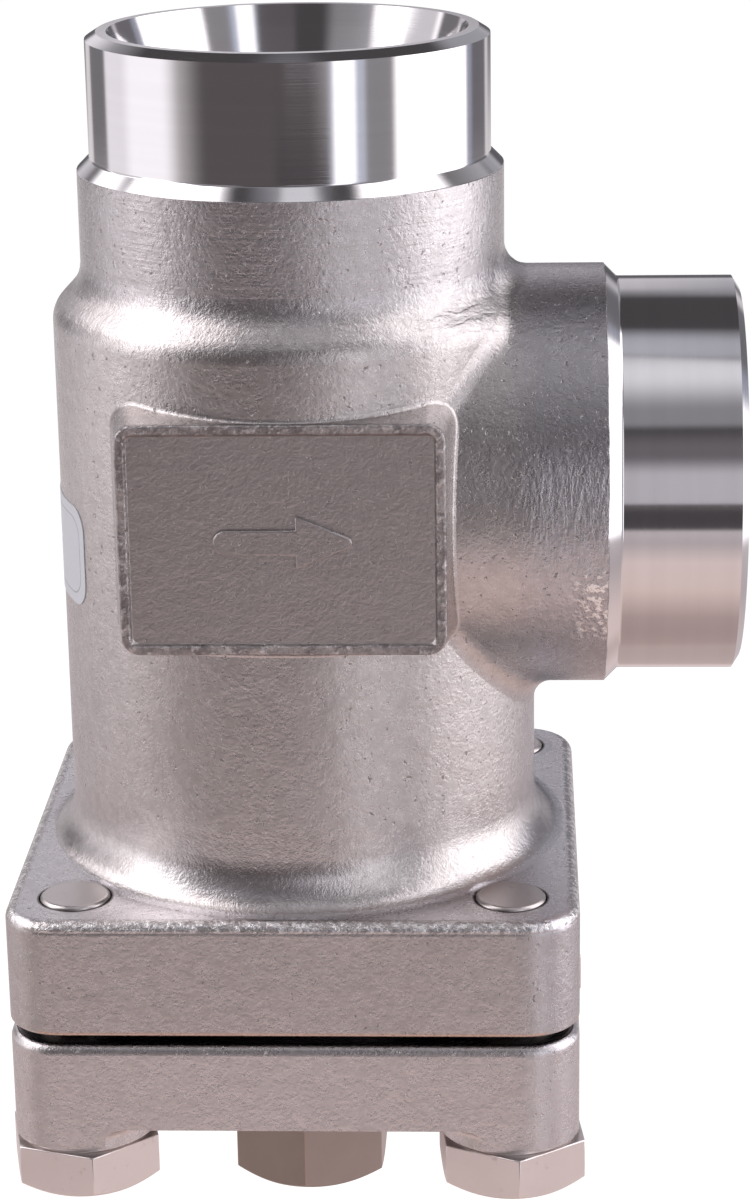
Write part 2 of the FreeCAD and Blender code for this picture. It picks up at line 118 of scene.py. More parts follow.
class Value:
    """A socket that arithmetic can be done on: each operator adds its Math node."""

    def __init__(self, graph, socket):
        self.graph = graph
        self.socket = socket

    def __add__(self, other):
        return self.graph.maths("ADD", self, other)

    def __sub__(self, other):
        return self.graph.maths("SUBTRACT", self, other)

    def __rsub__(self, other):
        return self.graph.maths("SUBTRACT", other, self)

    def __mul__(self, other):
        return self.graph.maths("MULTIPLY", self, other)

    def __truediv__(self, other):
        return self.graph.maths("DIVIDE", self, other)

    def __abs__(self):
        return self.graph.maths("ABSOLUTE", self)

    __radd__ = __add__
    __rmul__ = __mul__


class Graph:
    """One node tree, shader or geometry, and the ways to add to it."""

    def __init__(self, tree):
        self.tree = tree

    def feed(self, socket, value):
        if isinstance(value, Value):
            self.tree.links.new(value.socket, socket)
        else:
            socket.default_value = value

    def node(self, kind, settings=None, sockets=None, output=0):
        """Adds a node, sets it, feeds its sockets, and gives one of its outputs."""
        made = self.tree.nodes.new(kind)
        for name, value in (settings or {}).items():
            if name == "stops":
                self.fill_ramp(made.color_ramp, value)
            else:
                setattr(made, name, value)
        for name, value in (sockets or {}).items():
            self.feed(made.inputs[name], value)
        return Value(self, made.outputs[output])

    def fill_ramp(self, ramp, stops):
        while len(ramp.elements) < len(stops):
            ramp.elements.new(1.0)
        for element, (place, level) in zip(ramp.elements, stops):
            element.position = place
            element.color = (*level, 1.0)

    def maths(self, operation, *terms):
        return self.node("ShaderNodeMath", {"operation": operation}, dict(enumerate(terms)))

    def largest(self, value, *others):
        for other in others:
            value = self.maths("MAXIMUM", value, other)
        return value

    def length(self, across, along):
        return self.maths("SQRT", across * across + along * along)

    def parts(self, vector):
        """The x, y and z of a vector."""
        split = self.tree.nodes.new("ShaderNodeSeparateXYZ")
        self.feed(split.inputs[0], vector)
        return [Value(self, s) for s in split.outputs]

    def vector(self, x=0.0, y=0.0, z=0.0):
        return self.node("ShaderNodeCombineXYZ", None, {"X": x, "Y": y, "Z": z})

    def between(self, value, low, high, to_low=0.0, to_high=1.0):
        """Eases a value from one range to another and holds it at the ends."""
        return self.node("ShaderNodeMapRange", {"interpolation_type": "SMOOTHSTEP"},
                         {"Value": value, "From Min": low, "From Max": high,
                          "To Min": to_low, "To Max": to_high})

    def above(self, value, limit, ease):
        """1 above a limit and 0 below it, eased over a stretch to each side of it."""
        return self.between(value, limit - ease, limit + ease)

    def below(self, value, limit, ease):
        return self.between(value, limit + ease, limit - ease)

    def inside(self, value, limits, ease, upper_ease=None):
        """1 between two limits and 0 past them, eased at both."""
        low, high = limits
        return self.above(value, low, ease) * self.below(value, high, upper_ease or ease)

    def blend(self, share, first, second):
        """Mixes two colours."""
        return self.node("ShaderNodeMix", {"data_type": "RGBA"},
                         {0: share, 6: first, 7: second}, output=2)

    def noise(self, place, scale, detail=2.0, roughness=0.5):
        return self.node("ShaderNodeTexNoise", None,
                         {"Vector": place, "Scale": scale, "Detail": detail,
                          "Roughness": roughness}, output="Fac")

    def stretched(self, place, scale):
        return self.node("ShaderNodeMapping", None, {"Vector": place, "Scale": scale})


def colour(red, green, blue):
    return (red, green, blue, 1.0)


class Finish(Graph):
    """A material. Constants go on the shader's own sockets, and what varies is linked."""

    def __init__(self, name, **constants):
        self.material = bpy.data.materials.new(name)
        self.material.use_nodes = True
        super().__init__(self.material.node_tree)
        self.tree.nodes.clear()
        self.shader = self.tree.nodes.new("ShaderNodeBsdfPrincipled")
        out = self.tree.nodes.new("ShaderNodeOutputMaterial")
        self.tree.links.new(self.shader.outputs[0], out.inputs["Surface"])
        self.place = self.node("ShaderNodeTexCoord", output="Object")
        for name, value in constants.items():
            self.shader.inputs[name.replace("_", " ")].default_value = value

    def vary(self, socket, value):
        self.feed(self.shader.inputs[socket], value)

    def relief(self, height, depth):
        """A bump of 0 to 1, as deep as stated in metres."""
        bump = self.node("ShaderNodeBump", None, {"Height": height, "Distance": depth},
                         output="Normal")
        self.vary("Normal", bump)


# Zones on the casting's skin. A pair holds a low and a high limit. The heights of the crown, the
# streaks and the patch count from the branch's axis, and an inset from the flange's side.
STUB_START = 28.0 * MM
FRONT_LIMIT = -4.0 * MM
CROWN_HEIGHTS = (8.0 * MM, 20.0 * MM)
STREAK_HEIGHTS = (-11.0 * MM, 8.0 * MM)
PATCH_START = 34.0 * MM
PATCH_HEIGHTS = (-14.75 * MM, -5.25 * MM)
CONE_HEIGHTS = (NECK_FOOT - 5.0 * MM, NECK_FOOT + 1.0 * MM)
FOLD_PLACES = (16.5 * MM, 25.5 * MM)
FOLD_HEIGHTS = (NECK_FOOT - 5.5 * MM, NECK_FOOT + 1.0 * MM)
BEND_HEIGHTS = (FLANGE_TOP + 0.35 * MM, FLANGE_TOP + 9.0 * MM)
GLINT_PLACES = (-18.0 * MM, 6.0 * MM)
GLINT_HEIGHTS = (FLANGE_TOP + 1.5 * MM, FLANGE_TOP + 3.9 * MM)
TOP_HEIGHTS = (FLANGE_TOP - 0.8 * MM, FLANGE_TOP + 0.225 * MM)
TOP_INSET = 1.4 * MM
HOLE_RADIUS = 4.625 * MM
SHOULDER_HEIGHTS = (FLANGE_TOP - 1.025 * MM, FLANGE_TOP + 0.025 * MM)
SHOULDER_INSET = 1.35 * MM
COVER_TOP = JOINT_MIDDLE - 0.6 * MM
STAIN_HEIGHTS = (-115.5 * MM, -114.85 * MM)
STAIN_INSET = 0.6 * MM


def casting_places(steel):
    """Where a point of the casting lies, as lengths along, from and past its main forms."""
    x, y, z = steel.parts(steel.place)
    height = z - BRANCH_HEIGHT
    return SimpleNamespace(
        x=x, y=y, z=z, height=height,
        axial_radius=steel.length(x, y),
        side_radius=steel.length(y, height),
        past_panel=steel.largest(abs(x) - PANEL_HALF_WIDTH, abs(height) - PANEL_HALF_HEIGHT),
        past_flange=steel.largest(abs(x), abs(y)) - FLANGE_HALF,
        from_bolt=steel.length(abs(x) - BOLT_PLACE, abs(y) - BOLT_PLACE))


def machined_zones(steel, at):
    """Shares of 0 to 1 that say where the casting is turned, bored or left as cast."""
    on = SimpleNamespace()
    ragged = (steel.noise(steel.place, 260.0, 3.0, 0.6) - 0.5) * RAGGED_EDGE
    on.side = steel.above(at.x + ragged, SIDE_SPIGOT_START, 0.05 * MM)
    on.turned = steel.largest(steel.above(at.z, NECK_START, 0.05 * MM), on.side)
    above_pocket = steel.above(at.z, POCKET_FLOOR - 0.25 * MM, 0.05 * MM)
    chamber = steel.below(at.axial_radius, CHAMBER_RADIUS, 0.1 * MM) * above_pocket
    recess = (steel.below(at.axial_radius, RECESS_RADIUS, 0.1 * MM) * above_pocket
              * steel.below(at.z, RECESS_TOP, 0.25 * MM))
    side_bore = (steel.below(at.side_radius, SIDE_BORE_RADIUS, 0.1 * MM)
                 * steel.above(at.x, SIDE_BORE_START, 0.5 * MM))
    on.joint = steel.inside(at.z, JOINT_HEIGHTS, 0.025 * MM)
    on.bored = steel.largest(chamber, recess, side_bore, on.joint) * (1.0 - on.turned)
    on.cast = (1.0 - on.turned) * (1.0 - on.bored)
    return on


def body_zones(steel, at, on):
    """Adds the zones of the neck, the branch and the panel."""
    on.front = steel.below(at.y, FRONT_LIMIT, 2.0 * MM)
    on.stub = steel.above(at.x, STUB_START, 3.0 * MM)
    on.neck = steel.above(at.z, NECK_FOOT - 0.5 * MM, 1.5 * MM) * (1.0 - on.stub)
    on.cone = steel.inside(at.z, CONE_HEIGHTS, 0.5 * MM, 1.0 * MM) * (1.0 - on.stub)
    on.crown = on.stub * steel.inside(at.height, CROWN_HEIGHTS, 3.0 * MM)
    on.streaked = on.stub * steel.inside(at.height, STREAK_HEIGHTS, 3.5 * MM)
    on.folds = (steel.inside(at.x, FOLD_PLACES, 3.5 * MM, 1.5 * MM)
                * steel.inside(at.z, FOLD_HEIGHTS, 1.5 * MM, 1.0 * MM) * on.front)
    on.patch = (steel.above(at.x, PATCH_START, 1.5 * MM) * on.front
                * steel.inside(at.height, PATCH_HEIGHTS, 1.75 * MM))
    raised = steel.below(at.y, PANEL_FIELD + 0.175 * MM, 0.075 * MM)
    on.field = raised * steel.below(at.past_panel, -PANEL_RIM - 0.25 * MM, 0.15 * MM)
    on.rim = raised * steel.below(at.past_panel, 0.05 * MM, 0.05 * MM) - on.field


def flange_zones(steel, at, on):
    """Adds the zones of the flange, the bend above it and the cover."""
    top = steel.inside(at.z, TOP_HEIGHTS, 0.1 * MM, 0.075 * MM)
    # painted light: the flange's top face is made lighter and bluer
    on.top = top * steel.below(at.past_flange, -TOP_INSET, 0.4 * MM)
    # painted shade inside the bolt holes, round the bolts
    on.hole = top * steel.below(at.from_bolt, HOLE_RADIUS, 0.125 * MM)
    on.shoulder = (steel.inside(at.z, SHOULDER_HEIGHTS, 0.225 * MM, 0.075 * MM)
                   * steel.above(at.past_flange, -SHOULDER_INSET, 0.35 * MM))
    on.bend = steel.inside(at.z, BEND_HEIGHTS, 0.25 * MM, 1.0 * MM)
    # painted highlight on the front middle of the bend above the flange
    on.glint = (on.bend * on.front * steel.inside(at.x, GLINT_PLACES, 4.0 * MM, 3.0 * MM)
                * steel.inside(at.z, GLINT_HEIGHTS, 0.5 * MM, 0.7 * MM))
    on.cover = steel.below(at.z, COVER_TOP, 0.1 * MM)
    on.stain = (steel.inside(at.z, STAIN_HEIGHTS, 0.1 * MM, 0.15 * MM)
                * steel.above(at.past_flange, -STAIN_INSET, 0.2 * MM))


def casting_marks(steel, at, on):
    """Grain, pits, wrinkles and tool marks, each of 0 to 1."""
    marks = SimpleNamespace()
    marks.grain = steel.noise(steel.place, 2300.0, 4.0, 0.65)
    marks.fine = steel.noise(steel.place, 5200.0, 2.0, 0.6)
    marks.nodules = steel.noise(steel.place, 1350.0, 2.0, 0.55)
    marks.coarse = steel.noise(steel.place, 620.0, 3.0, 0.6)
    marks.swell = steel.noise(steel.place, 150.0, 3.0, 0.55)
    marks.cloud = steel.noise(steel.place, 70.0, 3.0, 0.55)
    marks.mottle = steel.noise(steel.place, 640.0, 5.0, 0.72)
    marks.specks = steel.between(steel.noise(steel.place, 3300.0, 1.0, 0.5), 0.66, 0.76)
    marks.pits = (steel.between(steel.noise(steel.place, 1500.0, 2.0, 0.5), 0.66, 0.74)
                  * (1.0 - on.bend * 0.8) * (1.0 - on.cone * 0.8))
    upright = steel.stretched(steel.place, (1900.0, 1900.0, 430.0))
    level = steel.stretched(steel.place, (70.0, 70.0, 2600.0))
    marks.streaks = steel.noise(upright, 1.0, 4.0, 0.6)
    marks.turning = steel.noise(level, 1.0, 3.0, 0.6)
    folds = steel.noise(steel.stretched(steel.place, (90.0, 90.0, 330.0)), 1.0, 3.0, 0.55)
    marks.wrinkles = steel.between(abs(folds - 0.5), 0.05, 0.0) * on.folds
    along = on.side * at.x + (1.0 - on.side) * at.z
    across = on.side * at.side_radius + (1.0 - on.side) * at.axial_radius
    marks.rings = steel.noise(steel.vector(along * 6200.0, across * 6200.0), 1.0, 3.0, 0.75)
    marks.broad_rings = steel.noise(steel.vector(along * 500.0, across * 500.0, 0.3), 1.0, 2.0)
    return marks


def casting_colour(steel, on, marks):
    """Warm and neutral grey skin with its marks, painted light on the flange's top and the bend,
    painted shade in the bolt holes, along the folds and in the joint, and the brighter machined
    metal.
    """
    warm = steel.blend(marks.cloud, colour(0.52, 0.485, 0.475), colour(0.59, 0.555, 0.545))
    neutral = steel.blend(marks.cloud, colour(0.48, 0.46, 0.475), colour(0.55, 0.53, 0.545))
    skin = steel.blend(steel.largest(on.stub, on.neck * 0.6), warm, neutral)
    for share, tone in (
            (steel.between(marks.mottle, 0.36, 0.66, 0.0, 0.26), (0.29, 0.26, 0.25)),
            (on.crown * 0.36, (0.28, 0.27, 0.28)),
            (marks.pits * 0.5, (0.12, 0.10, 0.095)),
            (marks.specks * 0.35, (0.90, 0.88, 0.87)),
            (on.field * 0.5, (0.33, 0.30, 0.295)),
            (on.rim * steel.between(marks.coarse, 0.3, 0.7, 0.2, 0.85), (0.18, 0.16, 0.16)),
            (on.rim * steel.between(marks.nodules, 0.55, 0.65) * 0.4, (0.85, 0.82, 0.82)),
            # painted highlight on the bend
            (on.glint * 0.6, (0.86, 0.83, 0.84)),
            # the folds are in relief, and the dark along their creases is painted shade
            (marks.wrinkles * 0.22, (0.25, 0.24, 0.24)),
            # painted light on the flange's top face
            (on.top * 0.5, (0.78, 0.76, 0.80)),
            # painted shade inside the bolt holes, round the bolts
            (on.hole * 0.9, (0.06, 0.055, 0.05)),
            (on.shoulder * steel.between(marks.nodules, 0.44, 0.60) * 0.7, (0.95, 0.93, 0.93)),
            (on.patch * steel.between(marks.nodules, 0.52, 0.60) * 0.8, (0.95, 0.92, 0.90)),
            (on.cover * 0.25, (0.78, 0.74, 0.74)),
            (on.stain * 0.8, (0.60, 0.44, 0.36))):
        skin = steel.blend(share, skin, colour(*tone))
    bright = steel.blend(marks.broad_rings, colour(0.62, 0.605, 0.61), colour(0.70, 0.685, 0.69))
    bored = steel.blend(marks.broad_rings, colour(0.52, 0.51, 0.51), colour(0.62, 0.61, 0.61))
    # painted shade in the gap between flange and cover, on the joint faces
    bored = steel.blend(on.joint * 0.85, bored, colour(0.26, 0.24, 0.25))
    return steel.blend(on.bored, steel.blend(on.turned, skin, bright), bored)


def casting_roughness(on, marks):
    rough = (0.21 + marks.coarse * 0.08 + marks.mottle * 0.05 + marks.pits * 0.15
             + on.field * 0.08 + on.rim * 0.1 - on.shoulder * 0.04 - on.bend * 0.08
             - on.cone * 0.02)
    return (on.cast * rough + on.turned * (0.03 + marks.rings * 0.12)
            + on.bored * (0.20 + marks.rings * 0.15))


def casting_height(on, marks):
    """Grain that is rougher on the rim and the shoulder, and fine tool marks where machined."""
    stipple = on.neck * 0.3 + on.rim * 1.4 + on.field * 0.15 + on.shoulder * 1.2 - on.bend * 0.25
    skin = (marks.grain * (0.85 + stipple * 0.5) + marks.fine * 0.25
            + marks.nodules * (0.35 + stipple * 1.2) + marks.coarse * (0.4 + stipple * 0.5)
            + marks.swell - marks.pits * 0.8 + on.streaked * marks.streaks * 2.6
            + on.patch * marks.nodules * 3.0 + on.neck * marks.turning * 0.6
            - marks.wrinkles * 0.4)
    return on.cast * skin + (on.turned + on.bored) * marks.rings * 0.03


def cast_and_turned():
    """Shot-blasted casting, with the weld ends, the bores and the joint faces machined."""
    steel = Finish("cast_steel", Metallic=1.0)
    at = casting_places(steel)
    on = machined_zones(steel, at)
    body_zones(steel, at, on)
    flange_zones(steel, at, on)
    marks = casting_marks(steel, at, on)
    steel.vary("Base Color", casting_colour(steel, on, marks))
    steel.vary("Roughness", casting_roughness(on, marks))
    steel.relief(casting_height(on, marks), 0.08 * MM)
    return steel.material


# Where a bolt is painted dark as shade in the gap between flange and cover, and the height from
# which its point is worn
GAP_SHADE_HEIGHTS = (JOINT_MIDDLE - 2.75 * MM, JOINT_MIDDLE + 2.75 * MM)
WORN_FROM = FLANGE_TOP - 0.4 * MM


def satin_bar(name, dark, light, is_bolt=False):
    """Smooth satin bar stock, with faint drawing marks and a few dull spots. A bolt has painted
    shade where it crosses the gap between flange and cover, and its point is worn dull."""
    steel = Finish(name, Metallic=1.0)
    cloud = steel.noise(steel.place, 140.0, 3.0)
    marks = steel.noise(steel.stretched(steel.place, (3200.0, 3200.0, 500.0)), 1.0, 3.0, 0.6)
    spots = steel.between(steel.noise(steel.place, 520.0, 3.0, 0.6), 0.62, 0.75)
    body = steel.blend(cloud, dark, light)
    body = steel.blend(spots * 0.3, body, colour(0.36, 0.31, 0.29))
    if is_bolt:
        z = steel.parts(steel.place)[2]
        gap_shade = steel.inside(z, GAP_SHADE_HEIGHTS, 0.25 * MM)
        worn = steel.above(z, WORN_FROM, 0.1 * MM)
        # painted shade: the bolt is darkened where it crosses the gap between flange and cover
        body = steel.blend(gap_shade * 0.9, body, colour(0.05, 0.045, 0.04))
        body = steel.blend(worn * 0.6, body, colour(0.40, 0.37, 0.365))
    steel.vary("Base Color", body)
    steel.vary("Roughness", 0.24 + marks * 0.16 + spots * 0.12)
    steel.relief(marks, 0.012 * MM)
    return steel.material


def rolled_sheet():
    """Bright stainless sheet and turned ring of the basket, with rolling marks."""
    steel = Finish("basket_steel", Metallic=1.0)
    marks = steel.noise(steel.stretched(steel.place, (900.0, 900.0, 5200.0)), 1.0, 3.0, 0.6)
    cloud = steel.noise(steel.place, 90.0, 3.0)
    body = steel.blend(cloud, colour(0.56, 0.555, 0.56), colour(0.68, 0.675, 0.68))
    steel.vary("Base Color", body)
    steel.vary("Roughness", 0.22 + marks * 0.2)
    steel.relief(marks, 0.01 * MM)
    return steel.material


def drawn_wire(name, tone, roughness):
    """Drawn stainless wire of the gauze or the spring."""
    steel = Finish(name, Metallic=1.0)
    streaks = steel.noise(steel.place, 1500.0, 3.0, 0.6)
    light = tuple(min(1.0, c * 1.25) for c in tone[:3]) + (1.0,)
    steel.vary("Base Color", steel.blend(streaks, tone, light))
    steel.vary("Roughness", roughness + streaks * 0.15)
    steel.relief(streaks, 0.008 * MM)
    return steel.material


def soft_aluminium():
    """Rolled aluminium washer, a little scuffed."""
    metal = Finish("washer_aluminium", Metallic=1.0)
    scuffs = metal.noise(metal.stretched(metal.place, (600.0, 2600.0, 2600.0)), 1.0, 3.0)
    metal.vary("Base Color", metal.blend(scuffs, colour(0.70, 0.70, 0.71),
                                         colour(0.84, 0.84, 0.85)))
    metal.vary("Roughness", 0.30 + scuffs * 0.2)
    metal.relief(scuffs, 0.01 * MM)
    return metal.material


def pressed_fibre():
    """Matt compressed fibre of the gasket, flecked."""
    fibre = Finish("gasket_fibre", Specular_IOR_Level=0.3)
    flecks = fibre.noise(fibre.place, 1800.0, 4.0, 0.7)
    fibre.vary("Base Color", fibre.blend(fibre.between(flecks, 0.4, 0.65),
                                         colour(0.035, 0.045, 0.038), colour(0.10, 0.12, 0.10)))
    fibre.vary("Roughness", 0.75 + flecks * 0.15)
    fibre.relief(flecks, 0.03 * MM)
    return fibre.material


def sticker_film():
    """Silver-grey film with a fine line round its blank field."""
    film = Finish("sticker_film", Specular_IOR_Level=0.5)
    fibres = film.noise(film.place, 2400.0, 3.0, 0.6)
    rim = film.node("ShaderNodeAttribute", {"attribute_name": "border"}, output="Fac")
    line = film.between(rim, 0.15, 0.35) * film.between(rim, 0.85, 0.65)
    field = film.blend(fibres, colour(0.66, 0.65, 0.71), colour(0.76, 0.75, 0.80))
    film.vary("Base Color", film.blend(line * 0.8, field, colour(0.30, 0.30, 0.34)))
    film.vary("Roughness", 0.38 + fibres * 0.15)
    film.relief(fibres, 0.006 * MM)
    return film.material


# Meshes

def band(body, first, second):
    """Quads between two rings of vertices."""
    count = len(first)
    for k in range(count):
        n = (k + 1) % count
        body.faces.new((first[k], first[n], second[n], second[k]))


def finished(name, body):
    """A mesh whose faces point outwards."""
    bmesh.ops.recalc_face_normals(body, faces=body.faces)
    mesh = bpy.data.meshes.new(name)
    body.to_mesh(mesh)
    body.free()
    return mesh


def closed_stack(name, rings):
    """A closed solid from level rings of points that follow each other along an axis."""
    body = bmesh.new()
    rows = [[body.verts.new(p) for p in ring] for ring in rings]
    for low, high in zip(rows, rows[1:]):
        band(body, low, high)
    body.faces.new(list(reversed(rows[0])))
    body.faces.new(rows[-1])
    return finished(name, body)


def linked(name, data):
    """A new object in the scene."""
    made = bpy.data.objects.new(name, data)
    bpy.context.scene.collection.objects.link(made)
    return made


def shaded(mesh):
    """Smooth shading, except at the sharp edges."""
    mesh.shade_smooth()
    mesh.set_sharp_from_angle(angle=SHARP_ANGLE)


def placed(name, mesh, material):
    """A shaded object of one material."""
    mesh.materials.append(material)
    shaded(mesh)
    return linked(name, mesh)


def settled(made):
    """Turns an object's live modifiers into plain mesh."""
    bpy.context.view_layer.update()
    graph = bpy.context.evaluated_depsgraph_get()
    old = made.data
    mesh = bpy.data.meshes.new_from_object(made.evaluated_get(graph))
    made.modifiers.clear()
    made.data = mesh
    mesh.name = made.name
    if old.users == 0:
        bpy.data.meshes.remove(old)
    return made


def edges_broken(made, width):
    """A small bevel along the sharp edges."""
    bevel = made.modifiers.new("edge_break", "BEVEL")
    bevel.width = width
    bevel.segments = 2
    bevel.limit_method = "ANGLE"
    bevel.angle_limit = BEVEL_ANGLE
    bevel.harden_normals = False
    return settled(made)


def points_round(centre, turn, radius_at, height_at):
    """A ring of points round an upright axis, from the front on and turned in degrees. The
    radius follows from the angle, and the height from the radius."""
    points = []
    for k in range(RING_POINTS):
        a = 2 * math.pi * k / RING_POINTS
        b = a + math.radians(turn - 90)
        radius = radius_at(a)
        points.append((centre.x + radius * math.cos(b), centre.y + radius * math.sin(b),
                       height_at(radius)))
    return points


def circle(centre, radius, z, turn=0.0):
    return points_round(centre, turn, lambda a: radius, lambda r: z)


def hexagon(centre, across_flats, turn, height_at):
    """A hexagon's outline with a corner to the front."""
    side = math.pi / 3
    return points_round(centre, turn,
                        lambda a: across_flats / 2 / math.cos(a % side - side / 2), height_at)


def hexagon_head(centre, across_flats, low, high, turn):
    """Rings of a hexagonal head whose lower corners are turned off at 30 degrees."""
    flat = across_flats * HEX_FACE_SHARE
    rise = math.tan(math.radians(30))
    return [circle(centre, flat, low, turn),
            hexagon(centre, across_flats, turn, lambda r: low + max(0.0, r - flat) * rise),
            hexagon(centre, across_flats, turn, lambda r: high)]


# Repeats, made by geometry nodes

def tree_with_inputs(name, inputs):
    """A new geometry tree, its graph, and a Value for each named input."""
    tree = bpy.data.node_groups.new(name, "GeometryNodeTree")
    tree.interface.new_socket("Geometry", in_out="OUTPUT", socket_type="NodeSocketGeometry")
    for label, kind in inputs.items():
        tree.interface.new_socket(label, in_out="INPUT", socket_type=kind)
    graph = Graph(tree)
    source = tree.nodes.new("NodeGroupInput")
    return tree, graph, {label: Value(graph, source.outputs[label]) for label in inputs}


def end_tree(graph, geometry, material):
    """Realizes what the tree made, gives it its material, and sends it out."""
    real = graph.node("GeometryNodeRealizeInstances", None, {"Geometry": geometry})
    dressed = graph.node("GeometryNodeSetMaterial", None,
                         {"Geometry": real, "Material": material})
    out = graph.tree.nodes.new("NodeGroupOutput")
    graph.feed(out.inputs["Geometry"], dressed)


def grown(name, tree, values):
    """Runs a geometry tree with its inputs set and gives the result as a plain mesh."""
    made = linked(name, bpy.data.meshes.new(name))
    run = made.modifiers.new(tree.name, "NODES")
    run.node_group = tree
    for item in tree.interface.items_tree:
        if item.in_out == "INPUT" and item.name in values:
            run[item.identifier] = values[item.name]
    settled(made)
    shaded(made.data)
    return made


# A thread's ridge, as shares of its depth and its pitch. Its root is sunk into the core.
RIDGE_MIDDLE = 0.42
RIDGE_HEIGHT = 1.16
RIDGE_ROOT = 0.92
RIDGE_CREST = 0.12
RIDGE_STEPS = 40


def thread_tree(name, material):
    """A ridge with a trapezoid section that winds up a shank."""
    tree, graph, given = tree_with_inputs(name, {
        "Core radius": "NodeSocketFloat", "Depth": "NodeSocketFloat",
        "Pitch": "NodeSocketFloat", "Turns": "NodeSocketFloat", "Foot": "NodeSocketVector"})
    middle = given["Core radius"] + given["Depth"] * RIDGE_MIDDLE
    helix = graph.node("GeometryNodeCurveSpiral", None, {
        "Resolution": RIDGE_STEPS, "Rotations": given["Turns"], "Start Radius": middle,
        "End Radius": middle, "Height": given["Pitch"] * given["Turns"]})
    helix = graph.node("GeometryNodeSetCurveNormal", {"mode": "Z_UP"}, {"Curve": helix})
    section = graph.node("GeometryNodeCurvePrimitiveQuadrilateral", {"mode": "TRAPEZOID"}, {
        "Bottom Width": given["Pitch"] * RIDGE_ROOT, "Top Width": given["Pitch"] * RIDGE_CREST,
        "Height": given["Depth"] * RIDGE_HEIGHT, "Offset": 0.0})
    ridge = graph.node("GeometryNodeCurveToMesh", None, {
        "Curve": helix, "Profile Curve": section, "Fill Caps": True})
    ridge = graph.node("GeometryNodeSetPosition", None,
                       {"Geometry": ridge, "Offset": given["Foot"]})
    end_tree(graph, ridge, material)
    return tree


WIRE_SIDES = 4


def gauze_uprights(graph, given, section, phase):
    """Every second upright wire, which passes in and out between the rings."""
    index = graph.node("GeometryNodeInputIndex")
    wire = graph.node("GeometryNodeCurvePrimitiveLine", None, {
        "Start": graph.vector(0.0, 0.0, given["Low"]),
        "End": graph.vector(0.0, 0.0, given["High"])})
    wire = graph.node("GeometryNodeResampleCurve", None,
                      {"Curve": wire, "Count": given["Rings"] * 2.0 + 1.0})
    swing = given["Swing"] * graph.maths("SINE", (index * 0.5 + phase) * math.pi)
    wire = graph.node("GeometryNodeSetPosition", None, {
        "Geometry": wire, "Offset": graph.vector(given["Radius"] + swing)})
    wire = graph.node("GeometryNodeCurveToMesh", None,
                      {"Curve": wire, "Profile Curve": section, "Fill Caps": True})
    spots = graph.node("GeometryNodeMeshLine", None, {
        "Count": given["Wires"] * 0.5, "Start Location": (0.0, 0.0, 0.0),
        "Offset": (0.0, 0.0, 0.0)})
    step = (index * 2.0 + phase) / given["Wires"] * (2 * math.pi)
    return graph.node("GeometryNodeInstanceOnPoints", None, {
        "Points": spots, "Instance": wire, "Rotation": graph.vector(0.0, 0.0, step)})


def gauze_rings(graph, given, section, phase):
    """Every second ring, which passes in and out between the uprights."""
    index = graph.node("GeometryNodeInputIndex")
    ring = graph.node("GeometryNodeCurvePrimitiveCircle", None,
                      {"Resolution": given["Wires"] * 2.0, "Radius": given["Radius"]})
    angle = index / given["Wires"] * math.pi
    sway = given["Swing"] * graph.maths("COSINE", (index * 0.5 + phase + 1.0) * math.pi)
    ring = graph.node("GeometryNodeSetPosition", None, {
        "Geometry": ring, "Offset": graph.vector(sway * graph.maths("COSINE", angle),
                                                 sway * graph.maths("SINE", angle))})
    ring = graph.node("GeometryNodeCurveToMesh", None, {"Curve": ring, "Profile Curve": section})
    pitch = (given["High"] - given["Low"]) / given["Rings"]
    rows = graph.node("GeometryNodeMeshLine", None, {
        "Count": given["Rings"] * 0.5,
        "Start Location": graph.vector(0.0, 0.0, given["Low"] + pitch * (phase + 0.5)),
        "Offset": graph.vector(0.0, 0.0, pitch * 2.0)})
    return graph.node("GeometryNodeInstanceOnPoints", None, {"Points": rows, "Instance": ring})


def gauze_tree(material):
    """Plain weave wrapped into a tube: upright wires and rings that pass over and under."""
    tree, graph, given = tree_with_inputs("woven_gauze", {
        "Radius": "NodeSocketFloat", "Low": "NodeSocketFloat", "High": "NodeSocketFloat",
        "Wires": "NodeSocketInt", "Rings": "NodeSocketInt", "Wire radius": "NodeSocketFloat",
        "Swing": "NodeSocketFloat"})
    section = graph.node("GeometryNodeCurvePrimitiveCircle", None,
                         {"Resolution": WIRE_SIDES, "Radius": given["Wire radius"]})
    joined = graph.tree.nodes.new("GeometryNodeJoinGeometry")
    for phase in (0.0, 1.0):
        graph.feed(joined.inputs[0], gauze_uprights(graph, given, section, phase))
        graph.feed(joined.inputs[0], gauze_rings(graph, given, section, phase))
    end_tree(graph, Value(graph, joined.outputs[0]), material)
    return tree


# Pieces

cast_steel = cast_and_turned()
bolt_steel = satin_bar("bolt_steel", colour(0.70, 0.64, 0.62), colour(0.80, 0.74, 0.72),
                       is_bolt=True)
# The plug's steel is painted darker than the bolts' as shade under the cover.
plug_steel = satin_bar("plug_steel", colour(0.31, 0.255, 0.23), colour(0.38, 0.32, 0.295))
basket_steel = rolled_sheet()
wire_gauze = drawn_wire("wire_gauze", colour(0.50, 0.50, 0.51), 0.28)
spring_steel = drawn_wire("spring_steel", colour(0.46, 0.45, 0.44), 0.25)
washer_aluminium = soft_aluminium()
gasket_fibre = pressed_fibre()
sticker_grey = sticker_film()

NODE_FINISHES = {
    "housing": cast_steel, "cover": cast_steel, "cover_gasket": gasket_fibre,
    "plug_washer": washer_aluminium, "basket_top_ring": basket_steel,
    "basket_tube": basket_steel, "mesh_seam": basket_steel, "basket_end_cap": basket_steel,
    "basket_spring": spring_steel,
}
for name, material in NODE_FINISHES.items():
    nodes[name].material_slots[0].material = material

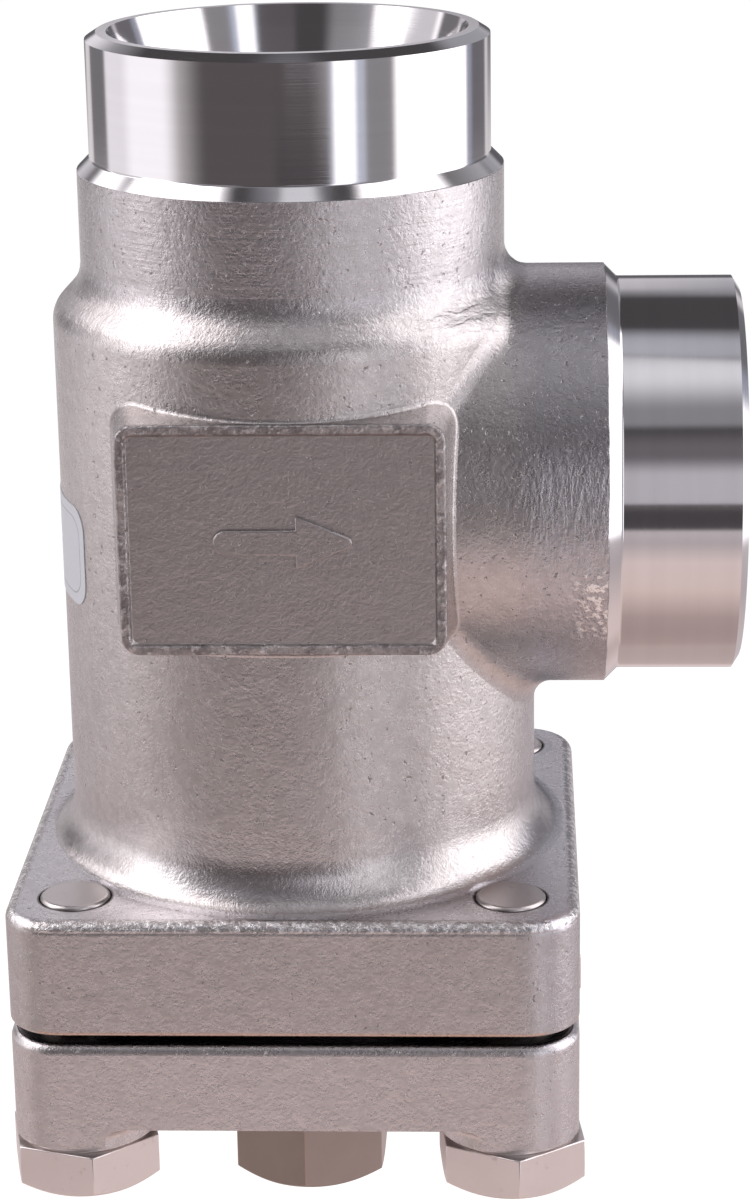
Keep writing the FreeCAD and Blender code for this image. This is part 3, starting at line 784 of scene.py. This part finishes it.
# The cover bolts, and the mouths of the holes they come out of
BOLT_HEX = 17.0 * MM
BOLT_HEAD = 6.4 * MM
WASHER_FACE = 0.5 * MM
BOLT_SHANK = 2.0 * MM
BOLT_RUN_OUT = 1.0 * MM
BOLT_POINT = 4.25 * MM
BOLT_POINT_STEP = 0.2 * MM
BOLT_POINT_CHAMFER = 0.32 * MM
BOLT_POINT_DEPTH = 1.0 * MM
BOLT_THREAD_START = 2.2 * MM
BOLT_THREAD_END = 0.8 * MM
MOUTH_INNER = 4.42 * MM
MOUTH_OUTER = 5.75 * MM
MOUTH_DEPTH = 0.6 * MM
MOUTH_PROUD = 0.03 * MM
MOUTH_DROP = 0.02 * MM
MOUTH_CHAMFER = 0.35 * MM
MOUTH_TAPER = 0.9 * MM
BOLT_TURNS = {"front_left": 12.0, "front_right": 6.0, "back_left": -9.0, "back_right": 20.0}
bolt_thread = thread_tree("bolt_thread", bolt_steel)


def cover_bolt(place, turn):
    """Hexagon bolt with its head at the bottom, threaded up to a chamfered point."""
    node = "bolt_" + place
    low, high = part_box(node)
    centre = (low + high) / 2
    seat = low.z + BOLT_HEAD
    core = BOLT_THREAD["crest"] - BOLT_THREAD["depth"]
    crest = BOLT_THREAD["crest"]
    point = FLANGE_TOP - BOLT_POINT_DEPTH
    rings = hexagon_head(centre, BOLT_HEX, low.z, seat - WASHER_FACE, turn)
    for radius, z in (
            (BOLT_HEX * HEX_FACE_SHARE, seat - WASHER_FACE), (BOLT_HEX * HEX_FACE_SHARE, seat),
            (crest, seat), (crest, seat + BOLT_SHANK), (core, seat + BOLT_SHANK + BOLT_RUN_OUT),
            (core, point - BOLT_POINT_STEP), (BOLT_POINT, point),
            (BOLT_POINT, high.z - BOLT_POINT_CHAMFER), (BOLT_POINT - BOLT_POINT_CHAMFER, high.z)):
        rings.append(circle(centre, radius, z, turn))
    shank = edges_broken(placed("cover_bolt_" + place, closed_stack(node, rings), bolt_steel),
                         EDGE_BREAK)
    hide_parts(node)
    foot = seat + BOLT_THREAD_START
    turns = (point - BOLT_THREAD_END - foot) / BOLT_THREAD["pitch"]
    thread = grown("cover_bolt_thread_" + place, bolt_thread, {
        "Core radius": core, "Depth": BOLT_THREAD["depth"], "Pitch": BOLT_THREAD["pitch"],
        "Turns": turns, "Foot": (centre.x, centre.y, foot)})
    for piece in (shank, thread):
        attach(piece, node)


def hole_mouth(place):
    """The first thread of the housing's tapped hole, which closes in round the bolt's point."""
    low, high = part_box("bolt_" + place)
    centre = (low + high) / 2
    foot = FLANGE_TOP - MOUTH_DEPTH
    profile = ((MOUTH_INNER, foot), (MOUTH_INNER, FLANGE_TOP + MOUTH_DROP),
               (MOUTH_OUTER - MOUTH_CHAMFER, FLANGE_TOP + MOUTH_PROUD),
               (MOUTH_OUTER, FLANGE_TOP - MOUTH_DROP), (MOUTH_OUTER - MOUTH_TAPER, foot))
    body = bmesh.new()
    rows = [[body.verts.new(p) for p in circle(centre, radius, z)] for radius, z in profile]
    for first, second in zip(rows, rows[1:] + rows[:1]):
        band(body, first, second)
    mouth = placed("hole_mouth_" + place, finished("hole_mouth", body), cast_steel)
    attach(mouth, "housing")


for place, turn in BOLT_TURNS.items():
    cover_bolt(place, turn)
    hole_mouth(place)

# The drain plug
PLUG_HEX = 19.0 * MM
PLUG_HEX_HEIGHT = 10.0 * MM
PLUG_COLLAR = 13.0 * MM
PLUG_COLLAR_HEIGHT = 4.0 * MM
PLUG_TURN = -1.5
PLUG_CHAMFER = 1.2 * MM
PLUG_NOSE = 1.8 * MM
PLUG_NOSE_STEP = 0.6 * MM
PLUG_THREAD_START = 2.0 * MM
PLUG_THREAD_END = 2.2 * MM


def drain_plug():
    """Plug with a hexagon, a collar that presses the washer, and a threaded shank."""
    low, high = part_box("drain_plug")
    centre = (low + high) / 2
    hex_top = low.z + PLUG_HEX_HEIGHT
    collar_top = hex_top + PLUG_COLLAR_HEIGHT
    crest = PLUG_THREAD["crest"]
    core = crest - PLUG_THREAD["depth"]
    rings = hexagon_head(centre, PLUG_HEX, low.z, hex_top, PLUG_TURN)
    for radius, z in (
            (PLUG_COLLAR, hex_top), (PLUG_COLLAR, collar_top), (core, collar_top),
            (core, high.z - PLUG_NOSE - PLUG_NOSE_STEP), (crest, high.z - PLUG_NOSE),
            (crest, high.z - PLUG_CHAMFER), (crest - PLUG_CHAMFER, high.z)):
        rings.append(circle(centre, radius, z, PLUG_TURN))
    plug = edges_broken(placed("plug_body", closed_stack("plug_body", rings), plug_steel),
                        EDGE_BREAK)
    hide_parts("drain_plug")
    foot = collar_top + PLUG_THREAD_START
    turns = (high.z - PLUG_THREAD_END - foot) / PLUG_THREAD["pitch"]
    thread = grown("plug_thread", thread_tree("pipe_thread", plug_steel), {
        "Core radius": core, "Depth": PLUG_THREAD["depth"], "Pitch": PLUG_THREAD["pitch"],
        "Turns": turns, "Foot": (centre.x, centre.y, foot)})
    for piece in (plug, thread):
        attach(piece, "drain_plug")


drain_plug()

# The gauze on the basket
GAUZE_WIRE = 0.13 * MM
GAUZE_SINK = 0.2 * MM
GAUZE_UPRIGHTS = 96
GAUZE_RINGS = 44


def gauze():
    """The woven gauze that lies round the support tube."""
    low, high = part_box("basket_mesh")
    woven = grown("woven_gauze", gauze_tree(wire_gauze), {
        "Radius": high.x - GAUZE_SINK, "Low": low.z + GAUZE_WIRE, "High": high.z - GAUZE_WIRE,
        "Wires": GAUZE_UPRIGHTS, "Rings": GAUZE_RINGS, "Wire radius": GAUZE_WIRE,
        "Swing": GAUZE_WIRE})
    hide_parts("basket_mesh")
    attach(woven, "basket")


gauze()

# The raised flow arrow in the panel
ARROW_LEFT = -8.0 * MM
ARROW_HEAD = 1.6 * MM
ARROW_TIP = 8.2 * MM
ARROW_NOSE = 0.7 * MM
ARROW_SHAFT = 3.0 * MM
ARROW_WIDTH = 6.4 * MM
ARROW_PROUD = 0.42 * MM
ARROW_ROOT = 0.15 * MM
ARROW_EDGE = 0.18 * MM
ARROW_MIDDLE = -55.2 * MM
TAIL_STEPS = 8
NOSE_ANGLES = (-1.1, -0.55, 0.0, 0.55, 1.1)


def flow_arrow():
    """A cast arrow that points to the side port."""
    half = ARROW_SHAFT / 2
    outline = []
    for k in range(TAIL_STEPS + 1):
        a = math.pi / 2 + math.pi * k / TAIL_STEPS
        outline.append((ARROW_LEFT + half + half * math.cos(a), half * math.sin(a)))
    outline += [(ARROW_HEAD, -half), (ARROW_HEAD, -ARROW_WIDTH / 2)]
    outline += [(ARROW_TIP - ARROW_NOSE + ARROW_NOSE * math.cos(a), ARROW_NOSE * math.sin(a))
                for a in NOSE_ANGLES]
    outline += [(ARROW_HEAD, ARROW_WIDTH / 2), (ARROW_HEAD, half)]
    sunk = PANEL_FIELD + ARROW_ROOT
    proud = PANEL_FIELD - ARROW_PROUD
    rings = [[(x, y, ARROW_MIDDLE + z) for x, z in outline] for y in (sunk, proud)]
    arrow = placed("flow_arrow", closed_stack("flow_arrow", rings), cast_steel)
    edges_broken(arrow, ARROW_EDGE)
    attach(arrow, "housing")


flow_arrow()

# The sticker on the barrel's left side
STICKER_HEIGHT = 12.4 * MM
STICKER_WIDTH = 25.0 * MM
STICKER_MIDDLE = -61.6 * MM
STICKER_FRONT = math.radians(212.0)
STICKER_CORNER = 3.0 * MM
STICKER_LIFT = 0.02 * MM
STICKER_FILM = 0.08 * MM
STICKER_BORDER = 1.3 * MM
STICKER_LINE = 0.13 * MM
STICKER_STEP = 1.2 * MM
CORNER_STEPS = 6
FIELD_STEPS = 5


def sticker_outline():
    """A rounded rectangle, with points along its sides so that the film can bend."""
    across = STICKER_WIDTH / 2 - STICKER_CORNER
    upright = STICKER_HEIGHT / 2 - STICKER_CORNER
    corners = []
    for quarter, (sx, sz) in enumerate(((1, 1), (-1, 1), (-1, -1), (1, -1))):
        for k in range(CORNER_STEPS + 1):
            a = math.pi / 2 * (quarter + k / CORNER_STEPS)
            corners.append((sx * across + STICKER_CORNER * math.cos(a),
                            sz * upright + STICKER_CORNER * math.sin(a)))
    outline = []
    for (x0, z0), (x1, z1) in zip(corners, corners[1:] + corners[:1]):
        pieces = max(1, math.ceil(math.hypot(x1 - x0, z1 - z0) / STICKER_STEP))
        outline += [(x0 + (x1 - x0) * i / pieces, z0 + (z1 - z0) * i / pieces)
                    for i in range(pieces)]
    return outline


def sticker():
    """A rounded rectangle of film bent round the barrel, blank inside its border."""
    back = BARREL_RADIUS + STICKER_LIFT
    face = back + STICKER_FILM
    half_wide = STICKER_WIDTH / 2
    half_high = STICKER_HEIGHT / 2
    outline = sticker_outline()
    body = bmesh.new()
    layer = body.verts.layers.float.new("border")

    def ring_of(inset, radius, border):
        """The outline drawn in towards its middle."""
        row = []
        for x, z in outline:
            a = STICKER_FRONT - (half_wide + x * (1 - inset / half_wide)) / back
            vert = body.verts.new((radius * math.cos(a), radius * math.sin(a),
                                   STICKER_MIDDLE + z * (1 - inset / half_high)))
            vert[layer] = border
            row.append(vert)
        return row

    def field_of(edge, radius):
        """Rings from an edge to near the middle line, and the strip that closes them."""
        depth = half_high - edge
        rows = [ring_of(edge + depth * s / (FIELD_STEPS + 0.5), radius, 0.0)
                for s in range(1, FIELD_STEPS + 1)]
        inner = rows[-1]
        for k in range(len(inner) // 2 - 1):
            body.faces.new((inner[-1 - k], inner[k], inner[k + 1], inner[-2 - k]))
        return rows

    field_edge = STICKER_BORDER + STICKER_LINE
    top = [ring_of(0.0, face, 1.0), ring_of(STICKER_BORDER - STICKER_LINE, face, 1.0),
           ring_of(field_edge, face, 0.0)] + field_of(field_edge, face)
    under = [ring_of(0.0, back, 1.0)] + field_of(0.0, back)
    for rows in (top, under):
        for first, second in zip(rows, rows[1:]):
            band(body, first, second)
    band(body, under[0], top[0])
    film = placed("sticker", finished("sticker", body), sticker_grey)
    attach(film, "housing")


sticker()


# Studio: pale floor, white world, a soft lamp, and a screen that the bright metal reflects

def light_mix(graph, seen, lit):
    """One value for camera, glossy and transmission rays, and another for the rest."""
    path = graph.tree.nodes.new("ShaderNodeLightPath")
    camera, glossy, through = (Value(graph, path.outputs[name]) for name in (
        "Is Camera Ray", "Is Glossy Ray", "Is Transmission Ray"))
    shown = graph.largest(camera, glossy, through)
    return shown * seen + (1.0 - shown) * lit


WORLD_FILL = 0.72
FLOOR_LIFT = 0.42
FLOOR_REACH = 6.0

world = bpy.data.worlds.new("studio")
world.use_nodes = True
bpy.context.scene.world = world
world_graph = Graph(world.node_tree)
background = world.node_tree.nodes["Background"]
background.inputs["Color"].default_value = colour(1.0, 1.0, 1.0)
world_graph.feed(background.inputs["Strength"], light_mix(world_graph, 1.0, WORLD_FILL))


def pale_floor():
    """A pale floor that shows white to the camera and keeps the object's shadow."""
    mesh = bpy.data.meshes.new("floor")
    corners = ((-1, -1), (1, -1), (1, 1), (-1, 1))
    mesh.from_pydata([(x * FLOOR_REACH, y * FLOOR_REACH, floor_height) for x, y in corners], [],
                     [(0, 1, 2, 3)])
    pale = Finish("floor_white", Roughness=0.9, Specular_IOR_Level=0.1)
    cloud = pale.noise(pale.place, 9.0)
    pale.vary("Base Color", pale.blend(cloud, colour(0.80, 0.80, 0.80), colour(0.84, 0.84, 0.84)))
    pale.shader.inputs["Emission Color"].default_value = colour(1.0, 1.0, 1.0)
    pale.feed(pale.shader.inputs["Emission Strength"], light_mix(pale, FLOOR_LIFT, 0.0))
    floor = placed("floor", mesh, pale.material)
    floor.visible_glossy = False


pale_floor()

LAMP_PLACE = (0.0, -0.16, 0.52)
LAMP_TARGET = (0.0, -0.02, -0.06)
LAMP_SIZE = (0.70, 0.36)
LAMP_LEVEL = 2.0


def soft_lamp():
    """The overhead softbox. The screen shows it to the metal, so it lights the rest."""
    lamp = bpy.data.lights.new("softbox_top", "AREA")
    lamp.shape = "RECTANGLE"
    lamp.size, lamp.size_y = LAMP_SIZE
    lamp.energy = LAMP_LEVEL * math.pi * LAMP_SIZE[0] * LAMP_SIZE[1]
    made = linked("softbox_top", lamp)
    made.location = LAMP_PLACE
    aim = Vector(LAMP_TARGET) - Vector(LAMP_PLACE)
    made.rotation_euler = aim.to_track_quat("-Z", "Y").to_euler()
    made.visible_camera = False
    made.visible_glossy = False


soft_lamp()

SCREEN_RADIUS = 0.9
SCREEN_MIDDLE = -0.05

# The screen's own tone by height in degrees: pale and warm below, dim above
SCREEN_TONES = (
    (-90, (0.50, 0.38, 0.365)), (-76, (0.56, 0.43, 0.41)), (-56, (0.90, 0.72, 0.68)),
    (-38, (0.92, 0.76, 0.74)), (-26, (0.60, 0.53, 0.55)), (-8, (0.84, 0.80, 0.82)),
    (12, (0.60, 0.58, 0.62)), (26, (0.50, 0.49, 0.52)), (38, (0.28, 0.27, 0.29)),
    (45, (0.085, 0.08, 0.085)), (73, (0.085, 0.08, 0.085)), (81, (0.52, 0.52, 0.58)),
    (90, (0.66, 0.66, 0.73)))

# Softboxes and dark flags on it, a later one over an earlier: bearing from and to, height from
# and to, soft edge across and upright, tone. Bearings are in degrees from the camera's side,
# positive towards the side port.
SCREEN_PANELS = (
    # Over the front, down to the bright box low in front
    (-24, 46, 38, 88, 6, 4, (0.33, 0.325, 0.35)),
    (-12, 40, 60, 84, 8, 11, (0.95, 0.945, 1.0)),
    (-52, -22, 32, 64, 7, 6, (0.27, 0.26, 0.275)),
    (-27, 66, 23, 40, 6, 2.5, (0.085, 0.08, 0.085)),
    (-56, 27, -18, 24, 14, 1.5, (0.13, 0.115, 0.12)),
    (-4, 27, -18, -7, 3, 1.2, (0.085, 0.078, 0.084)),
    (2, 24, -3.4, 25, 1.5, 0.6, (0.64, 0.62, 0.67)),
    (-2, 26, 18, 34, 3, 6, (0.19, 0.175, 0.19)),
    # The left softbox, brighter at its heart
    (-118, -65, -14, 66, 7, 2.5, (1.42, 1.38, 1.44)),
    (-116, -69, 1, 66, 5, 2.5, (3.1, 3.0, 3.1)),
    (-116, -61, 28, 67, 4, 4, (3.1, 3.0, 3.1)),
    (-127, -99, -14, 13, 6, 4, (1.12, 1.08, 1.13)),
    (-138, -100, 15, 36, 5, 4, (2.2, 2.12, 2.2)),
    (-117, -86, -1, 24, 4, 3, (0.85, 0.82, 0.86)),
    (-80, -54, -44, -24, 2, 2, (0.46, 0.385, 0.36)),
    # Behind, on the left
    (172, 190, 10, 34, 5, 5, (0.72, 0.69, 0.74)),
    (-190, -172, 10, 34, 5, 5, (0.72, 0.69, 0.74)),
    (-145, -121, -9, 22, 2.5, 2.5, (0.23, 0.22, 0.235)),
    (-178, -152, 10, 34, 5, 5, (0.95, 0.92, 0.97)),
    # The right softbox, with a narrow bright strip in front of it
    (46, 64, -22, 48, 2, 2, (0.34, 0.33, 0.35)),
    (26.5, 46, -22, 40, 3, 1.5, (0.66, 0.70, 0.84)),
    (28, 41, -23, 40, 1.5, 1.5, (1.75, 1.72, 1.78)),
    (66, 122, -18, 68, 4, 2, (2.4, 2.33, 2.42)),
    (68, 120, 1, 66, 2.5, 2.5, (2.3, 2.25, 2.35)),
    # Behind, on the right and low down
    (123, 131, -9, 22, 2, 2, (0.40, 0.42, 0.52)),
    (129, 151, -9, 22, 2.5, 2.5, (0.20, 0.19, 0.21)),
    (150, 172, 12, 40, 5, 5, (0.42, 0.42, 0.46)),
    (158, 190, -6, 10, 4, 3, (0.13, 0.125, 0.14)),
    (-190, -158, -6, 10, 4, 3, (0.13, 0.125, 0.14)),
    (130, 190, -72, -38, 8, 5, (0.62, 0.50, 0.48)),
    (-190, -130, -72, -38, 8, 5, (0.62, 0.50, 0.48)))


def reflection_screen():
    """A round screen that only reflections show, with softboxes and flags as in a studio."""
    body = bmesh.new()
    bmesh.ops.create_uvsphere(body, u_segments=96, v_segments=48, radius=SCREEN_RADIUS,
                              matrix=Matrix.Translation((0.0, 0.0, SCREEN_MIDDLE)))
    tones = bpy.data.materials.new("screen_tones")
    tones.use_nodes = True
    graph = Graph(tones.node_tree)
    tones.node_tree.nodes.clear()
    x, y, z = graph.parts(graph.node("ShaderNodeTexCoord", output="Object"))
    bearing = graph.maths("ARCTAN2", x, y * -1.0) * (180 / math.pi)
    rise = graph.maths("ARCSINE", (z - SCREEN_MIDDLE) / SCREEN_RADIUS) * (180 / math.pi)
    stops = [((height + 90) / 180, tone) for height, tone in SCREEN_TONES]
    level = graph.node("ShaderNodeValToRGB", {"stops": stops}, {"Fac": rise / 180 + 0.5})
    for start, end, low, high, across, upright, tone in SCREEN_PANELS:
        panel = (graph.inside(bearing, (start, end), across)
                 * graph.inside(rise, (low, high), upright))
        level = graph.blend(panel, level, colour(*tone))
    glow = graph.node("ShaderNodeEmission", None, {"Color": level, "Strength": 1.0})
    out = graph.tree.nodes.new("ShaderNodeOutputMaterial")
    graph.feed(out.inputs["Surface"], glow)
    tones.cycles.emission_sampling = "NONE"
    screen = placed("screen", finished("screen", body), tones)
    screen.visible_camera = False
    screen.visible_diffuse = False
    screen.visible_shadow = False
    screen.visible_transmission = False


reflection_screen()


def photograph_camera():
    """The view that the photograph was taken from."""
    lens = bpy.data.cameras.new("camera")
    lens.lens = CAMERA_LENS
    lens.sensor_width = CAMERA_SENSOR
    made = linked("camera", lens)
    backward = CAMERA_RIGHT.cross(CAMERA_UP)
    turn = Matrix((CAMERA_RIGHT, CAMERA_UP, backward)).transposed().to_4x4()
    made.matrix_world = Matrix.Translation(CAMERA_PLACE) @ turn
    bpy.context.scene.camera = made


photograph_camera()
bpy.context.scene.view_settings.view_transform = "Standard"
